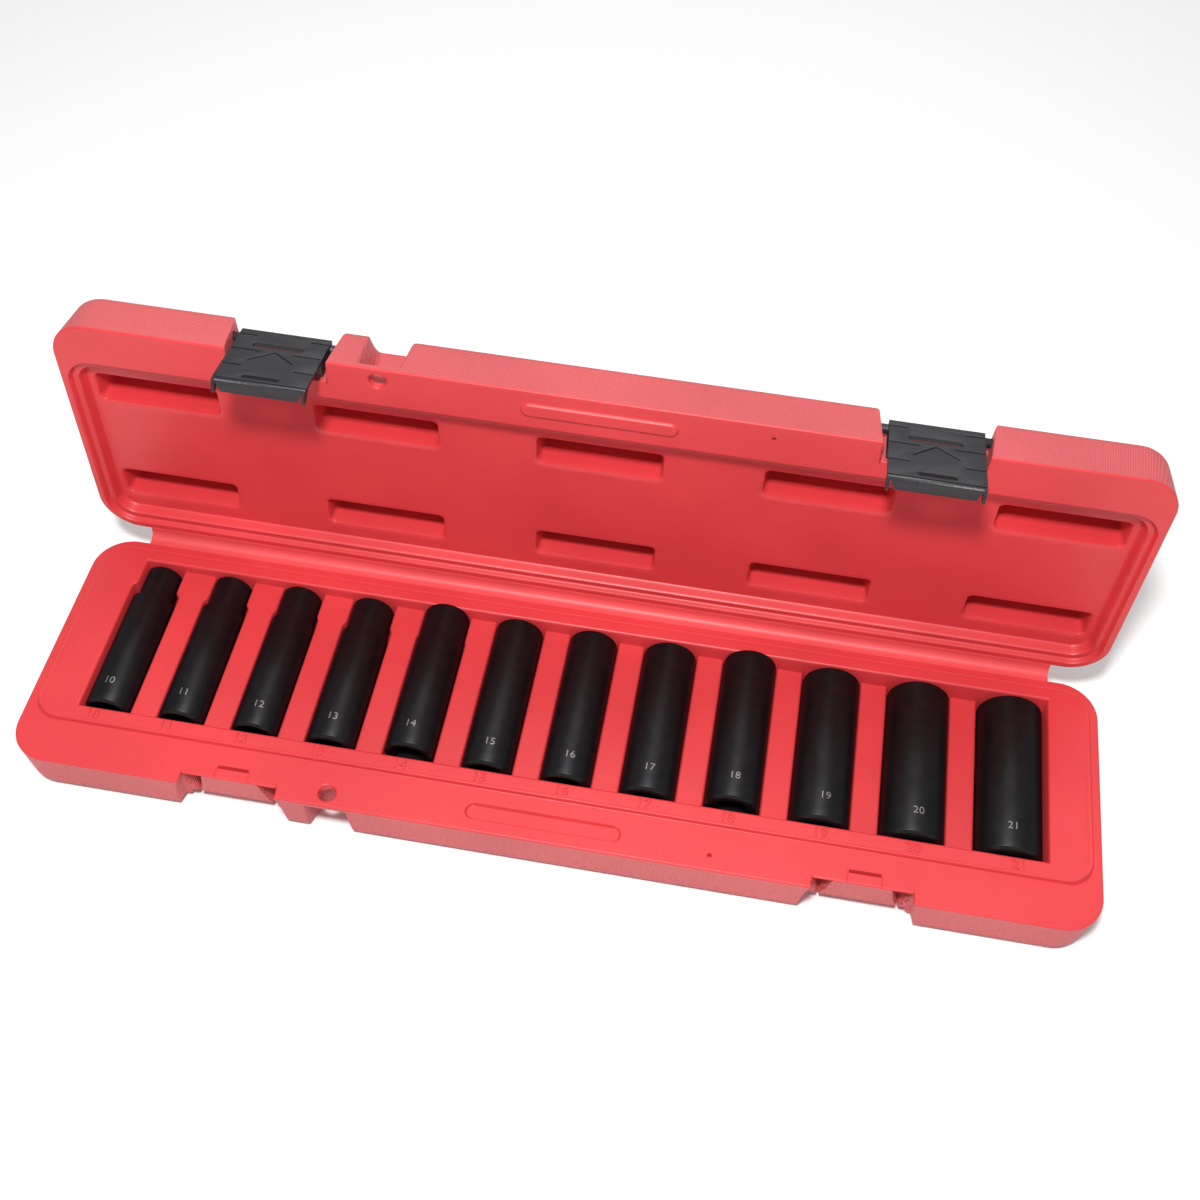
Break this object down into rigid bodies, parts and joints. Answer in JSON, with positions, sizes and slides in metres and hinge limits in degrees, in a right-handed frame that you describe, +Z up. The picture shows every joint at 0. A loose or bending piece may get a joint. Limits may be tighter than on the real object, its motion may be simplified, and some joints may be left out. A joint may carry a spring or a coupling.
{
  "type": "socket set in case",
  "caption": "Deep impact sockets lying in order of size in a hinged, blow-moulded case with two front latches.",
  "frame": {"origin": "middle of the base's underside, at the middle of its footprint", "axes": "+X along the case towards the largest socket, +Y towards the hinge, +Z up"},
  "size_m": [0.472, 0.159, 0.1578],
  "materials": {
    "case_base": "satin moulded plastic",
    "case_lid": "satin moulded plastic",
    "hinge_web": "satin moulded plastic",
    "latch": "satin moulded plastic",
    "socket": "black phosphate finish, lightly oiled"
  },
  "bodies": {
    "base": {"case_base": "case_base", "hinge_leaf_base": "hinge_web"},
    "lid": {"case_lid": "case_lid", "hinge_leaf_lid": "hinge_web"},
    "latch_left": {"latch_left": "latch"},
    "latch_right": {"latch_right": "latch"},
    "socket_10mm": {"socket_10mm": "socket"},
    "socket_11mm": {"socket_11mm": "socket"},
    "socket_12mm": {"socket_12mm": "socket"},
    "socket_13mm": {"socket_13mm": "socket"},
    "socket_14mm": {"socket_14mm": "socket"},
    "socket_15mm": {"socket_15mm": "socket"},
    "socket_16mm": {"socket_16mm": "socket"},
    "socket_17mm": {"socket_17mm": "socket"},
    "socket_18mm": {"socket_18mm": "socket"},
    "socket_19mm": {"socket_19mm": "socket"},
    "socket_20mm": {"socket_20mm": "socket"},
    "socket_21mm": {"socket_21mm": "socket"}
  },
  "joints": [
    {"name": "lid_hinge", "type": "hinge", "parent": "base", "child": "lid", "pos_m": [0, 0.0665, 0.026], "axis": [-1, 0, 0], "range_deg": [-92.4, 87.5]},
    {"name": "latch_left_pivot", "type": "hinge", "parent": "lid", "child": "latch_left", "pos_m": [-0.1365, 0.08649, 0.14746], "axis": [-1, 0, 0], "range_deg": [-9, 91]},
    {"name": "latch_right_pivot", "type": "hinge", "parent": "lid", "child": "latch_right", "pos_m": [0.1365, 0.08649, 0.14746], "axis": [-1, 0, 0], "range_deg": [-9, 91]},
    {"name": "socket_10mm_lift", "type": "slide", "parent": "base", "child": "socket_10mm", "axis": [0, 0, 1], "range_m": [0, 0.06]},
    {"name": "socket_11mm_lift", "type": "slide", "parent": "base", "child": "socket_11mm", "axis": [0, 0, 1], "range_m": [0, 0.06]},
    {"name": "socket_12mm_lift", "type": "slide", "parent": "base", "child": "socket_12mm", "axis": [0, 0, 1], "range_m": [0, 0.06]},
    {"name": "socket_13mm_lift", "type": "slide", "parent": "base", "child": "socket_13mm", "axis": [0, 0, 1], "range_m": [0, 0.06]},
    {"name": "socket_14mm_lift", "type": "slide", "parent": "base", "child": "socket_14mm", "axis": [0, 0, 1], "range_m": [0, 0.06]},
    {"name": "socket_15mm_lift", "type": "slide", "parent": "base", "child": "socket_15mm", "axis": [0, 0, 1], "range_m": [0, 0.06]},
    {"name": "socket_16mm_lift", "type": "slide", "parent": "base", "child": "socket_16mm", "axis": [0, 0, 1], "range_m": [0, 0.06]},
    {"name": "socket_17mm_lift", "type": "slide", "parent": "base", "child": "socket_17mm", "axis": [0, 0, 1], "range_m": [0, 0.06]},
    {"name": "socket_18mm_lift", "type": "slide", "parent": "base", "child": "socket_18mm", "axis": [0, 0, 1], "range_m": [0, 0.06]},
    {"name": "socket_19mm_lift", "type": "slide", "parent": "base", "child": "socket_19mm", "axis": [0, 0, 1], "range_m": [0, 0.06]},
    {"name": "socket_20mm_lift", "type": "slide", "parent": "base", "child": "socket_20mm", "axis": [0, 0, 1], "range_m": [0, 0.06]},
    {"name": "socket_21mm_lift", "type": "slide", "parent": "base", "child": "socket_21mm", "axis": [0, 0, 1], "range_m": [0, 0.06]}
  ]
}
